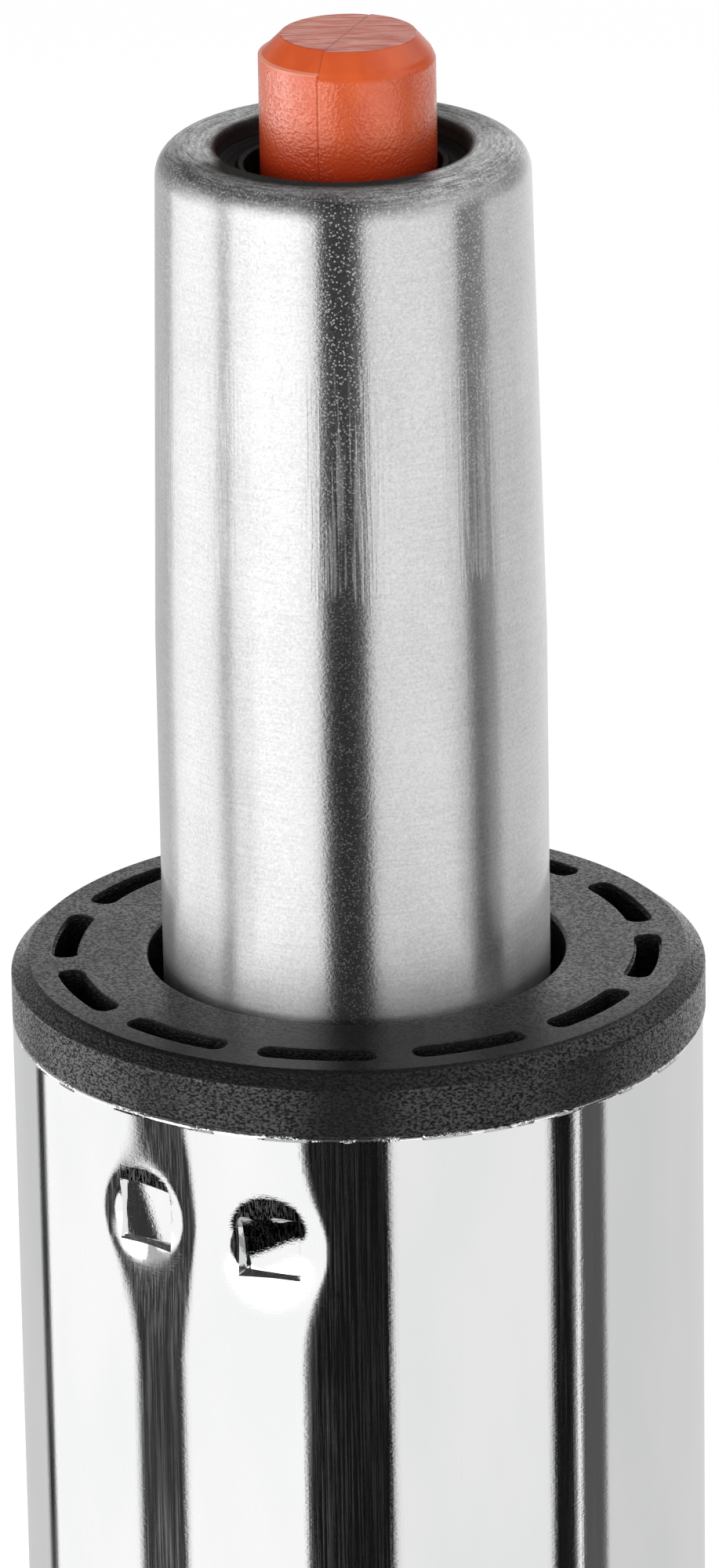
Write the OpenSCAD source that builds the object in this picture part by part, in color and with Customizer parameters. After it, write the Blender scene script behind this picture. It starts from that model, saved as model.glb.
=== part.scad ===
// Gas lift cylinder for a swivel chair, drawn fully lowered, in millimetres.
// The origin is the centre of the foot rim and +Z runs up the axis. The front is at -Y.

/* [Column] */
// Outside diameter of the column above its taper
column_d = 50; // [46:0.5:60]
// Wall of the column
column_wall = 1.5; // [1.2:0.1:2.5]
// Length of the column from its foot rim to its top rim
column_len = 200; // [190:1:260]
// Radius lost from the top of the foot taper to the foot rim
foot_drop = 1.6; // [0.8:0.05:2.4]
// Length of the taper that seats in the chair's base
foot_taper_len = 65; // [45:1:80]
// Bevel round the outside of the foot rim
foot_bevel = 0.6; // [0.2:0.1:1]

/* [Press marks] */
// Side of each square mark that locks the bush in the column
stake_w = 4.6; // [3:0.1:6]
// Depth of a mark outside, and of its bulge inside
stake_depth = 0.8; // [0.4:0.05:0.9]
// Drop from the column's top rim to the middle of the marks
stake_drop = 8.4; // [6:0.1:14]
// Turn of a pair's middle from the front towards -X, in degrees
stake_turn = 27; // [0:1:90]
// Angle between the two marks of a pair, in degrees
stake_pitch = 23.2; // [18:0.2:40]
// Pairs of marks round the column
stake_pairs = 2; // [1:1:4]
// Clearance round a mark's bulge in the bush's groove
stake_gap = 0.15; // [0.1:0.05:0.3]

/* [Guide bush] */
// Length of the sleeve below the column's top rim
bush_len = 75; // [50:1:90]
// Height of the collar above the column's top rim
collar_h = 4.7; // [3:0.1:8]
// How far the collar stands out past the column's wall
collar_overhang = 0.2; // [0.1:0.1:3]
// Radius of the collar's rounded upper edge
collar_round = 1.2; // [0.4:0.1:2]
// Gap round the tube at the collar's mouth
mouth_gap = 1.1; // [0.6:0.1:2]
// Depth of the mouth before the guide bore begins
mouth_depth = 12; // [4:0.5:30]
// Slots round the collar
slot_n = 12; // [6:1:14]
// Width of a slot
slot_w = 2.1; // [1.6:0.1:3]
// Angle that a slot spans between the middles of its round ends, in degrees
slot_span = 16.2; // [8:0.2:17]
// How much flatter than a half circle a slot's ends are
slot_end_flat = 1.25; // [1.1:0.05:1.4]
// Turn of the first slot's middle from the front towards -X, in degrees
slot_turn = 8; // [0:1:30]
// Wall left outside the slots
slot_rim = 1.4; // [1.2:0.05:2]
// Web left under the slots at the sleeve's lower end
slot_web = 6; // [3:0.5:20]

/* [Pressure tube] */
// Outside diameter of the tube below its seat taper
tube_d = 28; // [25:0.5:32]
// Wall of the tube below its seat taper
tube_wall = 2.5; // [2:0.1:3]
// Height of the tube's top above the column's top rim, fully lowered
tube_rise = 65.5; // [50:0.5:90]
// Length of the taper that seats in the chair's mechanism
seat_taper_len = 36.6; // [25:0.2:48]
// Radius lost from the foot of the seat taper to the tube's top
seat_drop = 0.8; // [0.4:0.05:1]
// Radius of the shoulder round the tube's top
shoulder_r = 2.2; // [1:0.1:2.4]
// Thickness of the lip rolled over the valve
lip_t = 1.5; // [1:0.1:3]
// How far the rolled lip reaches in from the bore
lip_w = 2.6; // [1.5:0.1:2.8]
// Thickness of the lip rolled under the rod guide
foot_lip_t = 2; // [1:0.1:3]
// How far the lower lip reaches in from the bore
foot_lip_w = 3; // [2:0.1:4]

/* [Release button] */
// Diameter of the button
button_d = 12.5; // [10:0.1:13]
// Height of the button above the tube's top
button_rise = 7.8; // [6:0.1:12]
// Height of the button's bevel
bevel_h = 1.6; // [0.6:0.1:2.4]
// How far the bevel comes in from the button's side
bevel_w = 1.35; // [0.5:0.05:2]
// Length of the button below the rolled lip
button_skirt = 6; // [4:0.5:10]
// Travel of the button when it is pressed
button_travel = 4; // [2:0.1:6]
// Gap round the button in its cover
button_play = 0.75; // [0.5:0.05:0.9]
// How far the loose button rests off the axis towards +X
button_lean = 0.4; // [0:0.05:0.4]
// Depth of the button's socket for the pin
socket_depth = 8; // [4:0.5:10]

/* [Gas valve] */
// Diameter of the valve pin
pin_d = 5; // [4:0.1:6]
// Depth of the pin's waist, which lets the gas by
pin_waist = 0.75; // [0.4:0.05:1]
// Thickness of the pin's head
pin_head_t = 3; // [2:0.1:5]
// How far the head stands out past the pin
pin_head_w = 1.5; // [1:0.1:2.5]
// Height of the valve body's flange, sealed in the tube
flange_h = 10; // [8:0.5:14]
// Height of the body's middle, which the gas ports cross
port_h = 7; // [5:0.5:10]
// Height of the body's neck, sealed in the inner tube
neck_h = 10; // [8:0.5:14]
// Diameter of the gas ports
port_d = 2.5; // [1.5:0.1:3.5]
// Thickness of the valve's outer sealing rings
valve_cord = 1.9; // [1.5:0.1:2.4]
// Thickness of the sealing rings round the pin
pin_cord = 1.6; // [1.2:0.1:2]

/* [Inner tube] */
// Gas passage between the two tubes
gas_gap = 1.5; // [1:0.1:2]
// Wall of the inner tube
inner_wall = 0.8; // [0.6:0.1:1.2]

/* [Piston rod] */
// Diameter of the rod
rod_d = 10; // [8:0.1:11]
// Step in from the rod to its lower spigot
rod_shoulder = 1; // [0.6:0.1:1.5]
// Step in from the rod to the spigot that carries the piston
piston_shoulder = 2; // [1:0.1:2.5]
// Rise of the seat from fully lowered to fully raised
stroke = 100; // [60:1:120]
// Length of the rod's tip below the clip
rod_tip = 3; // [2:0.1:4]
// Bevel round the rod's tip
tip_bevel = 0.8; // [0.3:0.1:1.2]
// Height of the head riveted over the piston
rivet_h = 2; // [1:0.1:3]
// How far the rivet head stands out past its spigot
rivet_w = 1.2; // [0.6:0.1:1.6]

/* [Piston] */
// Height of the piston
piston_h = 14; // [12:0.5:20]
// Gap round the piston's body, which its rings bridge
piston_gap = 0.3; // [0.2:0.05:0.5]
// Thickness of the piston's sealing ring
piston_cord = 2.4; // [1.8:0.1:2.8]
// Height of the piston's guide ring
guide_ring_h = 3; // [2:0.1:4]
// Thickness of the piston's guide ring
guide_ring_t = 1; // [0.7:0.05:1.4]
// Thickness of the washer under the rivet head
piston_washer_t = 1.5; // [1:0.1:2.5]
// How far the piston washer stops short of the piston's side
piston_washer_inset = 2; // [1:0.1:3]

/* [Rod guide pack] */
// Thickness of the end washer
end_washer_t = 2; // [1:0.1:3]
// Height of the rod guide
rod_guide_h = 12; // [8:0.5:18]
// Height of the rod seal
rod_seal_h = 6; // [4:0.5:9]
// Depth of the groove behind the rod seal's lips
seal_groove = 2.4; // [1.5:0.1:3]
// Height of the centring ring's flange
centring_flange_h = 2; // [1.5:0.1:4]
// Height of the spigot that centres the inner tube
centring_spigot_h = 3; // [2:0.1:5]
// Number of gas grooves across the centring ring
gas_groove_n = 6; // [3:1:8]
// Width of a gas groove
gas_groove_w = 2; // [1:0.1:2.5]
// Depth of a gas groove
gas_groove_depth = 1; // [0.5:0.1:1.2]

/* [Thrust bearing] */
// Outside diameter of the races
bearing_d = 24; // [22:0.5:30]
// Thickness of each race
race_t = 2; // [1.5:0.1:3]
// Diameter of the balls
ball_d = 4; // [3:0.1:4.5]
// Least spacing left between neighbouring balls
ball_spacing = 0.9; // [0.7:0.1:1.5]
// Depth of the ball groove in each race
groove_depth = 0.8; // [0.4:0.05:1]
// Gap between the ball cage and each race
cage_gap = 0.4; // [0.2:0.05:0.5]
// Rim of the cage inside and outside the balls
cage_rim = 1; // [0.8:0.1:1.4]

/* [Bumper] */
// Diameter of the rubber bumper
bumper_d = 24; // [20:0.5:28]
// Height of the bumper
bumper_h = 10; // [6:0.5:16]
// Depth of the bumper's waist
bumper_waist = 1.5; // [0.5:0.1:2.5]
// Thickness of the washer under the bumper
bumper_washer_t = 1.5; // [1:0.1:2.5]
// Height and thickness of the rim that centres the bumper on its washer
bumper_rim = 1.2; // [0.8:0.1:2]

/* [Base plate] */
// Height of the plate's underside above the foot rim
plate_recess = 10; // [9:0.5:20]
// Thickness of the plate
plate_t = 3; // [2:0.1:5]
// Depth of the skirt pressed into the column
plate_skirt = 5; // [2:0.5:8]
// Thickness of the skirt
skirt_t = 2; // [1.2:0.1:3]
// Thickness of the washer under the plate
base_washer_t = 1.4; // [0.8:0.1:2]
// Diameter of the washer under the plate
base_washer_d = 18; // [14:0.5:26]
// Thickness of the retaining clip
clip_t = 1.2; // [0.8:0.1:1.6]
// Diameter of the retaining clip
clip_d = 14; // [12:0.5:18]
// Depth of the clip's groove in the rod
clip_groove = 0.8; // [0.5:0.1:1.2]
// Half the angle that the clip leaves open, in degrees
clip_open = 60; // [40:1:65]

/* [Fits] */
// Clearance all round between pieces that slide or turn
running_gap = 0.08; // [0.05:0.01:0.1]
// Clearance round pieces that are pressed or clamped together
seat_gap = 0.02; // [0.01:0.01:0.05]
// Clearance at a stop, and beside parts that pass without touching
stop_gap = 0.3; // [0.2:0.05:0.5]
// Play left between the balls and their grooves
ball_gap = 0.05; // [0.02:0.01:0.08]
// Play of the rod end under the base plate
end_play = 0.1; // [0.05:0.05:0.3]
// Distance left between the piston and the centring ring, fully raised
stroke_reserve = 1; // [0.5:0.5:5]

/* [Hidden] */
$fn = 96;

// Overshoot of a cut past the face that it opens
over = 1;

// Radii, from the outside in
column_r = column_d / 2;
foot_r = column_r - foot_drop;
bush_r = column_r - column_wall - seat_gap;
collar_r = column_r + collar_overhang;
tube_r = tube_d / 2;
mouth_r = tube_r + mouth_gap;
slot_r = bush_r - slot_rim - slot_w / 2;
seat_r = tube_r - seat_drop;
bore_r = tube_r - tube_wall;
packing_r = bore_r - seat_gap;
inner_r = bore_r - gas_gap;
inner_bore_r = inner_r - inner_wall;
rod_r = rod_d / 2;
rod_hole_r = rod_r + running_gap;
spigot_r = rod_r - rod_shoulder;
spigot_hole_r = spigot_r + seat_gap;
spigot_turn_r = spigot_r + running_gap;
piston_spigot_r = rod_r - piston_shoulder;
piston_hole_r = piston_spigot_r + seat_gap;
pin_r = pin_d / 2;
pin_hole_r = pin_r + running_gap;
button_r = button_d / 2;
cover_hole_r = button_r + button_play;
race_r = bearing_d / 2;
ball_r = ball_d / 2;
ball_pitch_r = (race_r + spigot_r) / 2;
ball_n = floor(2 * PI * ball_pitch_r / (ball_d + ball_spacing));
bumper_r = bumper_d / 2;
rim_r = bumper_r + bumper_rim;
clip_r = clip_d / 2;
clip_seat_r = spigot_r - clip_groove;

// Radii that the sealing and guide rings seat on
ring_run_r = inner_bore_r - running_gap;
piston_seal_seat_r = ring_run_r - piston_cord;
piston_ring_seat_r = ring_run_r - guide_ring_t;
neck_r = inner_bore_r - seat_gap;
tube_seal_seat_r = packing_r - valve_cord;
neck_seal_seat_r = neck_r - valve_cord;
pin_seal_seat_r = pin_hole_r + pin_cord;

// Heights up the rod end, the bearing and the bumper
plate_top = plate_recess + plate_t;
base_washer_z = plate_recess - end_play - base_washer_t;
clip_z = base_washer_z - clip_t;
tip_z = clip_z - rod_tip;
lower_race_top = plate_top + race_t;
ball_z = lower_race_top - groove_depth + ball_gap + ball_r;
upper_race_z = ball_z + ball_r + ball_gap - groove_depth;
bumper_washer_z = upper_race_z + race_t;
bumper_z = bumper_washer_z + bumper_washer_t;
bumper_top = bumper_z + bumper_h;

// Heights up the rod guide pack, at the tube's lower end
tube_z = bumper_top + stop_gap;
end_washer_z = tube_z + foot_lip_t;
rod_guide_z = end_washer_z + end_washer_t;
rod_seal_z = rod_guide_z + rod_guide_h;
centring_z = rod_seal_z + rod_seal_h;
inner_z = centring_z + centring_flange_h;
chamber_z = inner_z + centring_spigot_h;

// Heights up the piston
piston_z = chamber_z + stroke_reserve + stroke;
piston_top = piston_z + piston_h;
rivet_z = piston_top + piston_washer_t;
rod_top = rivet_z + rivet_h;
piston_seal_z = piston_z + piston_h / 3;
piston_ring_z = piston_z + piston_h * 2 / 3;

// Heights down from the tube's top
tube_top = column_len + tube_rise;
lip_z = tube_top - lip_t;
button_z = lip_z - button_skirt;
button_top = tube_top + button_rise;
valve_top = button_z - button_travel - stop_gap;
port_top = valve_top - flange_h;
neck_top = port_top - port_h;
valve_z = neck_top - neck_h;
port_z = (neck_top + port_top) / 2;
upper_seal_z = (port_top + valve_top) / 2;
lower_seal_z = (valve_z + neck_top) / 2;
taper_z = tube_top - seat_taper_len;
shoulder_z = tube_top - shoulder_r;
collar_top = column_len + collar_h;
bush_z = column_len - bush_len;
stake_z = column_len - stake_drop;

// Radius of the column's outside and inside at a height in its taper
function column_outside(z) = foot_r + (column_r - foot_r) * min(z / foot_taper_len, 1);
function column_inside(z) = column_outside(z) - column_wall;

// Radius of the tube's outside at a height in its seat taper
function seat_outside(z) = tube_r - seat_drop * (z - taper_z) / seat_taper_len;

// Radius at which a sealing ring's cord fills the space between two walls
function ring_r(inside, outside) = (inside + outside) / 2;

// Height of a groove that holds a sealing ring
function groove_h(cord) = cord + 2 * stop_gap;

// Turned ring with a square section
module band(inside, outside, low, high) {
    rotate_extrude()
        translate([inside, low])
            square([outside - inside, high - low]);
}

// Turned piece with the outline given as radius and height
module turned(outline) {
    rotate_extrude()
        polygon(outline);
}

// Sealing ring of round cord, centred at a height
module cord_ring(radius, cord, z) {
    translate([0, 0, z])
        rotate_extrude()
            translate([radius, 0])
                circle(d = cord);
}

// Places its children at every press mark, with -Y pointing out of the column
module at_stakes() {
    for (pair = [0 : stake_pairs - 1])
        for (side = [-1, 1])
            rotate([0, 0, pair * 360 / stake_pairs - stake_turn + side * stake_pitch / 2])
                translate([0, 0, stake_z])
                    children();
}

module outer_tube() {
    mark_r = column_r - stake_depth;
    bulge_r = column_r - column_wall - stake_depth;
    root_r = (column_r + mark_r) / 2;
    color("gainsboro")
        difference() {
            union() {
                turned([
                    [foot_r - foot_bevel, 0],
                    [column_outside(foot_bevel), foot_bevel],
                    [column_r, foot_taper_len],
                    [column_r, column_len],
                    [column_r - column_wall, column_len],
                    [column_r - column_wall, foot_taper_len],
                    [foot_r - column_wall, 0]
                ]);
                at_stakes()
                    translate([-stake_w / 2, -root_r, -stake_w / 2])
                        cube([stake_w, root_r - bulge_r, stake_w]);
            }
            at_stakes()
                translate([-stake_w / 2, -column_r - over, -stake_w / 2])
                    cube([stake_w, stake_depth + over, stake_w]);
        }
}

module base_plate() {
    skirt_z = plate_recess - plate_skirt;
    skirt_r = column_inside(skirt_z) - seat_gap;
    color("darkgray")
        turned([
            [spigot_turn_r, plate_recess],
            [skirt_r - skirt_t, plate_recess],
            [skirt_r - skirt_t, skirt_z],
            [skirt_r, skirt_z],
            [column_inside(plate_top) - seat_gap, plate_top],
            [spigot_turn_r, plate_top]
        ]);
}

// One deep slot in the bush, rounded at both ends, with its middle at -Y
module bush_slot() {
    floor_z = bush_z + slot_web;
    depth = collar_top - floor_z + 3 * over;
    half_x = bush_r * sin(slot_span / 2);
    half_y = bush_r * cos(slot_span / 2);
    intersection() {
        band(slot_r - slot_w / 2, slot_r + slot_w / 2, floor_z, collar_top + over);
        translate([0, 0, floor_z - over])
            union() {
                linear_extrude(depth)
                    polygon([[0, 0], [-half_x, -half_y], [half_x, -half_y]]);
                for (end = [-1, 1])
                    rotate([0, 0, end * slot_span / 2])
                        translate([0, -slot_r, 0])
                            cylinder(r = slot_end_flat * slot_w / 2, h = depth);
            }
    }
}

// Half outline of the bush, from its guide bore to its collar's rounded edge
module bush_outline() {
    difference() {
        union() {
            translate([0, bush_z])
                square([bush_r, column_len - bush_z + over]);
            translate([0, column_len])
                square([collar_r, collar_h]);
        }
        translate([-over, bush_z - over])
            square([tube_r + running_gap + over, bush_len + collar_h + 2 * over]);
        translate([-over, collar_top - mouth_depth])
            square([mouth_r + over, mouth_depth + over]);
        translate([collar_r - collar_round, collar_top - collar_round])
            difference() {
                square(collar_round + over);
                circle(r = collar_round);
            }
        translate([bush_r - stake_depth - stake_gap, stake_z - stake_w / 2 - stake_gap])
            square([stake_depth + stake_gap + over, stake_w + 2 * stake_gap]);
    }
}

module guide_bush() {
    color("dimgray")
        difference() {
            rotate_extrude()
                bush_outline();
            for (slot = [0 : slot_n - 1])
                rotate([0, 0, slot * 360 / slot_n - slot_turn])
                    bush_slot();
        }
}

// Race with its ball groove opening upwards at the given height
module race(hole_r, top) {
    groove_r = ball_r + ball_gap;
    rotate_extrude()
        difference() {
            translate([hole_r, top - race_t])
                square([race_r - hole_r, race_t]);
            translate([ball_pitch_r, top - groove_depth + groove_r])
                circle(r = groove_r);
        }
}

module lower_race() {
    color("silver")
        race(spigot_turn_r, lower_race_top);
}

module upper_race() {
    color("silver")
        translate([0, 0, upper_race_z])
            mirror([0, 0, 1])
                race(spigot_hole_r, 0);
}

// Places its children at the middle of every ball
module at_balls() {
    for (ball = [0 : ball_n - 1])
        rotate([0, 0, ball * 360 / ball_n])
            translate([ball_pitch_r, 0, ball_z])
                children();
}

module ball_cage() {
    cage_t = upper_race_z - lower_race_top - 2 * cage_gap;
    color("khaki")
        difference() {
            band(ball_pitch_r - ball_r - cage_rim, ball_pitch_r + ball_r + cage_rim,
                ball_z - cage_t / 2, ball_z + cage_t / 2);
            at_balls()
                cylinder(r = ball_r + running_gap, h = cage_t + over, center = true);
        }
}

module bearing_balls() {
    color("lightsteelblue")
        at_balls()
            sphere(d = ball_d);
}

module piston_rod() {
    rivet_r = piston_spigot_r + rivet_w;
    color("lightgray")
        turned([
            [0, tip_z],
            [spigot_r - tip_bevel, tip_z],
            [spigot_r, tip_z + tip_bevel],
            [spigot_r, clip_z - seat_gap],
            [clip_seat_r, clip_z - seat_gap],
            [clip_seat_r, clip_z + clip_t + seat_gap],
            [spigot_r, clip_z + clip_t + seat_gap],
            [spigot_r, bumper_z],
            [rod_r, bumper_z],
            [rod_r, piston_z],
            [piston_spigot_r, piston_z],
            [piston_spigot_r, rivet_z],
            [rivet_r, rivet_z],
            [rivet_r, rivet_z + rivet_h / 2],
            [piston_spigot_r, rod_top],
            [0, rod_top]
        ]);
}

module bumper_washer() {
    color("silver")
        turned([
            [spigot_hole_r, bumper_washer_z],
            [rim_r, bumper_washer_z],
            [rim_r, bumper_z + bumper_rim],
            [bumper_r + seat_gap, bumper_z + bumper_rim],
            [bumper_r + seat_gap, bumper_z],
            [spigot_hole_r, bumper_z]
        ]);
}

module bumper() {
    middle = bumper_z + bumper_h / 2;
    color("darkslategray")
        turned([
            [rod_r + seat_gap, bumper_z],
            [bumper_r, bumper_z],
            [bumper_r, bumper_z + bumper_rim],
            [bumper_r - bumper_waist, middle],
            [bumper_r, bumper_top - bumper_rim],
            [bumper_r, bumper_top],
            [rod_r + seat_gap, bumper_top]
        ]);
}

module base_washer() {
    color("silver")
        band(spigot_hole_r, base_washer_d / 2, base_washer_z, base_washer_z + base_washer_t);
}

// Open ring that snaps into the rod's groove from the side
module retaining_clip() {
    grip_r = clip_seat_r + seat_gap;
    mouth_w = 2 * grip_r * sin(clip_open);
    color("slategray")
        difference() {
            band(grip_r, clip_r, clip_z, clip_z + clip_t);
            translate([0, -mouth_w / 2, clip_z - over])
                cube([clip_r + over, mouth_w, clip_t + 2 * over]);
        }
}

module piston() {
    side_r = inner_bore_r - piston_gap;
    seal_h = groove_h(piston_cord);
    ring_h = guide_ring_h + 2 * seat_gap;
    color("burlywood")
        difference() {
            band(piston_hole_r, side_r, piston_z, piston_top);
            band(piston_seal_seat_r - seat_gap, side_r + over,
                piston_seal_z - seal_h / 2, piston_seal_z + seal_h / 2);
            band(piston_ring_seat_r - seat_gap, side_r + over,
                piston_ring_z - ring_h / 2, piston_ring_z + ring_h / 2);
        }
}

module piston_seal() {
    color("darkslategray")
        cord_ring(ring_r(piston_seal_seat_r, ring_run_r), piston_cord, piston_seal_z);
}

module piston_ring() {
    color("ivory")
        band(piston_ring_seat_r, ring_run_r,
            piston_ring_z - guide_ring_h / 2, piston_ring_z + guide_ring_h / 2);
}

module piston_washer() {
    color("silver")
        band(piston_hole_r, inner_bore_r - piston_gap - piston_washer_inset, piston_top, rivet_z);
}

// Half outline of the tube, with its seat taper, rounded shoulder and rolled lips
module tube_outline() {
    shoulder_x = seat_outside(shoulder_z) - shoulder_r;
    difference() {
        polygon([
            [0, tube_z],
            [tube_r, tube_z],
            [tube_r, taper_z],
            [seat_r, tube_top],
            [0, tube_top]
        ]);
        translate([-over, end_washer_z])
            square([bore_r + over, lip_z - end_washer_z]);
        translate([-over, tube_z - over])
            square([bore_r - foot_lip_w + over, foot_lip_t + 2 * over]);
        translate([-over, lip_z - over])
            square([bore_r - lip_w + over, lip_t + 2 * over]);
        translate([shoulder_x, shoulder_z])
            difference() {
                square(shoulder_r + over);
                circle(r = shoulder_r);
            }
    }
}

module pressure_tube() {
    color("lightgray")
        rotate_extrude()
            tube_outline();
}

module end_washer() {
    color("silver")
        band(rod_r + stop_gap, packing_r, end_washer_z, rod_guide_z);
}

module rod_guide() {
    color("ivory")
        band(rod_hole_r, packing_r, rod_guide_z, rod_seal_z);
}

// Rubber seal with a groove that lets the gas press its lips apart
module rod_seal() {
    groove_r = ring_r(rod_hole_r, packing_r);
    groove_w = (packing_r - rod_hole_r) / 4;
    color("darkslategray")
        turned([
            [rod_hole_r, rod_seal_z],
            [packing_r, rod_seal_z],
            [packing_r, centring_z],
            [groove_r + groove_w, centring_z],
            [groove_r, centring_z - seal_groove],
            [groove_r - groove_w, centring_z],
            [rod_hole_r, centring_z]
        ]);
}

module centring_ring() {
    color("burlywood")
        difference() {
            union() {
                band(rod_r + stop_gap, packing_r, centring_z, inner_z);
                band(rod_r + stop_gap, neck_r, inner_z - over, chamber_z);
            }
            for (groove = [0 : gas_groove_n - 1])
                rotate([0, 0, groove * 360 / gas_groove_n])
                    translate([0, -gas_groove_w / 2, inner_z - gas_groove_depth])
                        cube([bore_r + over, gas_groove_w, gas_groove_depth]);
        }
}

module inner_tube() {
    color("lightgray")
        band(inner_bore_r, inner_r, inner_z, neck_top);
}

module valve_body() {
    outer_h = groove_h(valve_cord);
    pin_h = groove_h(pin_cord);
    color("goldenrod")
        difference() {
            union() {
                band(pin_hole_r, packing_r, port_top, valve_top);
                band(pin_hole_r, inner_r, neck_top, port_top + over);
                band(pin_hole_r, neck_r, valve_z, neck_top + over);
            }
            band(tube_seal_seat_r - seat_gap, packing_r + over,
                upper_seal_z - outer_h / 2, upper_seal_z + outer_h / 2);
            band(neck_seal_seat_r - seat_gap, inner_bore_r + over,
                lower_seal_z - outer_h / 2, lower_seal_z + outer_h / 2);
            for (z = [upper_seal_z, lower_seal_z])
                band(pin_hole_r - over, pin_seal_seat_r + seat_gap, z - pin_h / 2, z + pin_h / 2);
            for (turn = [0, 90])
                translate([0, 0, port_z])
                    rotate([90, 0, turn])
                        cylinder(d = port_d, h = 2 * bore_r, center = true);
        }
}

module tube_seal() {
    color("darkslategray")
        cord_ring(ring_r(tube_seal_seat_r, packing_r), valve_cord, upper_seal_z);
}

module neck_seal() {
    color("darkslategray")
        cord_ring(ring_r(neck_seal_seat_r, neck_r), valve_cord, lower_seal_z);
}

module pin_seals() {
    color("darkslategray")
        for (z = [upper_seal_z, lower_seal_z])
            cord_ring(ring_r(pin_hole_r, pin_seal_seat_r), pin_cord, z);
}

module valve_cover() {
    color("dimgray")
        band(cover_hole_r, packing_r, valve_top, lip_z);
}

module release_button() {
    color("orangered")
        difference() {
            translate([button_lean, 0, 0])
                turned([
                    [0, button_z],
                    [button_r, button_z],
                    [button_r, button_top - bevel_h],
                    [button_r - bevel_w, button_top],
                    [0, button_top]
                ]);
            translate([0, 0, button_z - over])
                cylinder(r = pin_r + seat_gap, h = socket_depth + over);
        }
}

// Pin whose waist opens the lower seal when the button pushes it down
module valve_pin() {
    waist_r = pin_r - pin_waist;
    waist_z = lower_seal_z + groove_h(pin_cord) / 2;
    waist_top = upper_seal_z - groove_h(pin_cord) / 2;
    head_z = valve_z - running_gap;
    color("silver")
        turned([
            [0, head_z - pin_head_t],
            [pin_r + pin_head_w, head_z - pin_head_t],
            [pin_r + pin_head_w, head_z],
            [pin_r, head_z],
            [pin_r, waist_z],
            [waist_r, waist_z + pin_waist],
            [waist_r, waist_top - pin_waist],
            [pin_r, waist_top],
            [pin_r, button_z + socket_depth],
            [0, button_z + socket_depth]
        ]);
}

outer_tube();
base_plate();
guide_bush();
lower_race();
ball_cage();
bearing_balls();
piston_rod();
upper_race();
bumper_washer();
bumper();
base_washer();
retaining_clip();
piston();
piston_seal();
piston_ring();
piston_washer();
pressure_tube();
end_washer();
rod_guide();
rod_seal();
centring_ring();
inner_tube();
valve_body();
tube_seal();
neck_seal();
pin_seals();
valve_cover();
release_button();
valve_pin();
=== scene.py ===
import math

import bmesh
import bpy
import numpy as np
from mathutils import Matrix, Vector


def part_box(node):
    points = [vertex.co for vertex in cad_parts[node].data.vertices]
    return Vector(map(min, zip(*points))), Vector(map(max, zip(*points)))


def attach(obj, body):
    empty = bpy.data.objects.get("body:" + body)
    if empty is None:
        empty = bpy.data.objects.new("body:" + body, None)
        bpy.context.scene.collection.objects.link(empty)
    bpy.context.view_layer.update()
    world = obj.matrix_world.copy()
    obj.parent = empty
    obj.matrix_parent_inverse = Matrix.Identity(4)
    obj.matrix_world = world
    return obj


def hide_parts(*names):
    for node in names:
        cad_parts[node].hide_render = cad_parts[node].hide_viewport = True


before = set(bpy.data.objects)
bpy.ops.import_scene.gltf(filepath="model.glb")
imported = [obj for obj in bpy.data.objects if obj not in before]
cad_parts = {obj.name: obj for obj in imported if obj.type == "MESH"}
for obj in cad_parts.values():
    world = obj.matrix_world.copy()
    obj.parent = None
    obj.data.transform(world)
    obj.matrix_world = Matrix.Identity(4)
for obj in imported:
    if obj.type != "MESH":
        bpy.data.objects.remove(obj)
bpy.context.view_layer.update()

# Sizes in millimetres. The boxes of the frame's nodes give the main radii and heights.

MM = 0.001


def turned_size(node):
    """Half the width of a turned node's box, its lowest height and its highest, in millimetres."""
    low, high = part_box(node)
    return (high.x - low.x) / 2 / MM, low.z / MM, high.z / MM


COLUMN_R, FOOT_Z, COLUMN_TOP = turned_size("outer_tube")
COLLAR_R, BUSH_Z, COLLAR_TOP = turned_size("guide_bush")
TUBE_R, TUBE_Z, TUBE_TOP = turned_size("pressure_tube")
COVER_R, COVER_Z, COVER_TOP = turned_size("valve_cover")
BUTTON_R, BUTTON_Z, BUTTON_TOP = turned_size("release_button")
BUTTON_X = sum(corner.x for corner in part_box("release_button")) / 2 / MM

# Column: wall, foot taper and top rim
COLUMN_WALL = 1.5
FOOT_DROP = 1.6
FOOT_TAPER = 65.0
FOOT_ROUND = 0.5
RIM_ROUND = 0.32
RIM_INNER_ROUND = 0.2

# Press marks: a square pocket in the middle of two soft dishes, in pairs round the column. A floor
# has its slope across and up, its twist, and its bend across and up; a dish has its depth and its
# width across and up.
MARK_Z = COLUMN_TOP - 8.4
MARK_TILT = 0.4
MARK_TURN = -27.0
MARK_PITCH = 23.2
MARK_PAIRS = 2
MARK_HALF = 2.3
MARK_WALL = 0.22
POCKET_DEPTH = 1.0
FLOORS = {-1: (-0.01, -0.025, -0.022, -0.09, 0.0), 1: (-0.02, -0.11, 0.05, 0.0, -0.10)}
DISHES = {-1: [(1.0, 2.0, 2.0), (0.40, 3.8, 6.5)], 1: [(1.0, 2.0, 2.0), (0.30, 3.6, 4.5)]}
DISH_REACH = 10.0

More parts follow.
